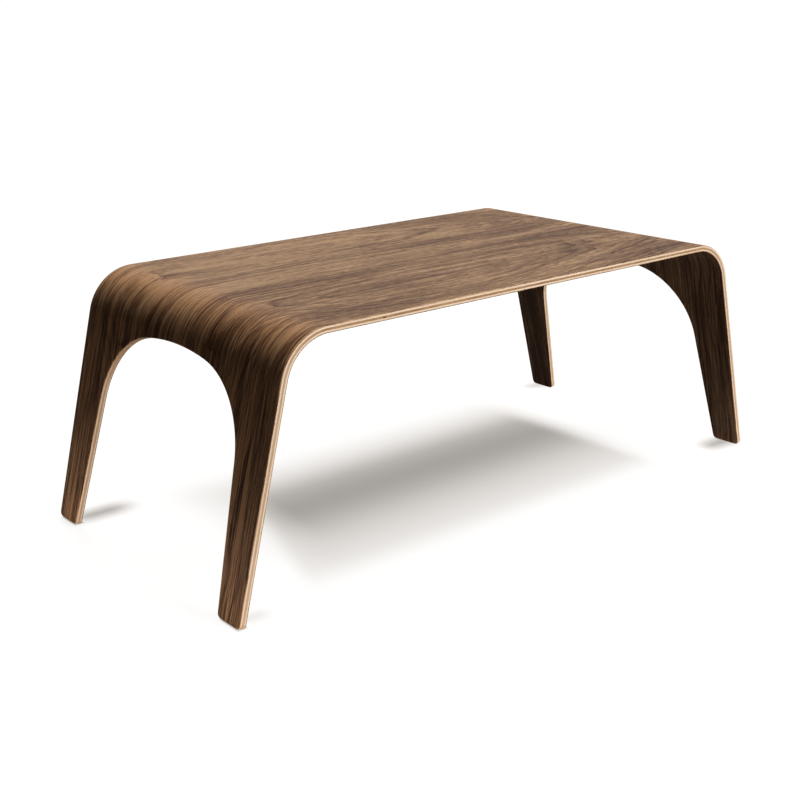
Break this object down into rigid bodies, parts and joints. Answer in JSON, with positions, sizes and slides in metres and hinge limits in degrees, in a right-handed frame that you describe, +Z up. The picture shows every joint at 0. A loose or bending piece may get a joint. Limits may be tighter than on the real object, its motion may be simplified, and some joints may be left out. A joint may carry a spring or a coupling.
{
  "type": "tray table",
  "caption": "Low tray table of moulded plywood: a flat top whose ends bend down into splayed legs, with a wide arch cut in each end, walnut faces and a pale birch edge.",
  "frame": {"origin": "on the floor under the middle of the top", "axes": "+X along the length, +Y towards the rear long edge, +Z up"},
  "size_m": [0.6198, 0.295, 0.22],
  "materials": {
    "walnut_face": "satin lacquered walnut veneer, grain along the length",
    "walnut_back": "satin lacquered walnut veneer, grain along the length",
    "birch_long_grain": "sanded and lacquered birch veneer, grain along the length",
    "birch_cross_grain": "sanded and lacquered birch veneer, grain across the width"
  },
  "bodies": {
    "root": {"walnut_face_leaf_front": "walnut_face", "walnut_face_leaf_rear": "walnut_face", "birch_long_grain_ply_upper": "birch_long_grain", "birch_cross_grain_ply": "birch_cross_grain", "birch_long_grain_ply_lower": "birch_long_grain", "walnut_back_leaf_front": "walnut_back", "walnut_back_leaf_rear": "walnut_back"}
  },
  "joints": []
}
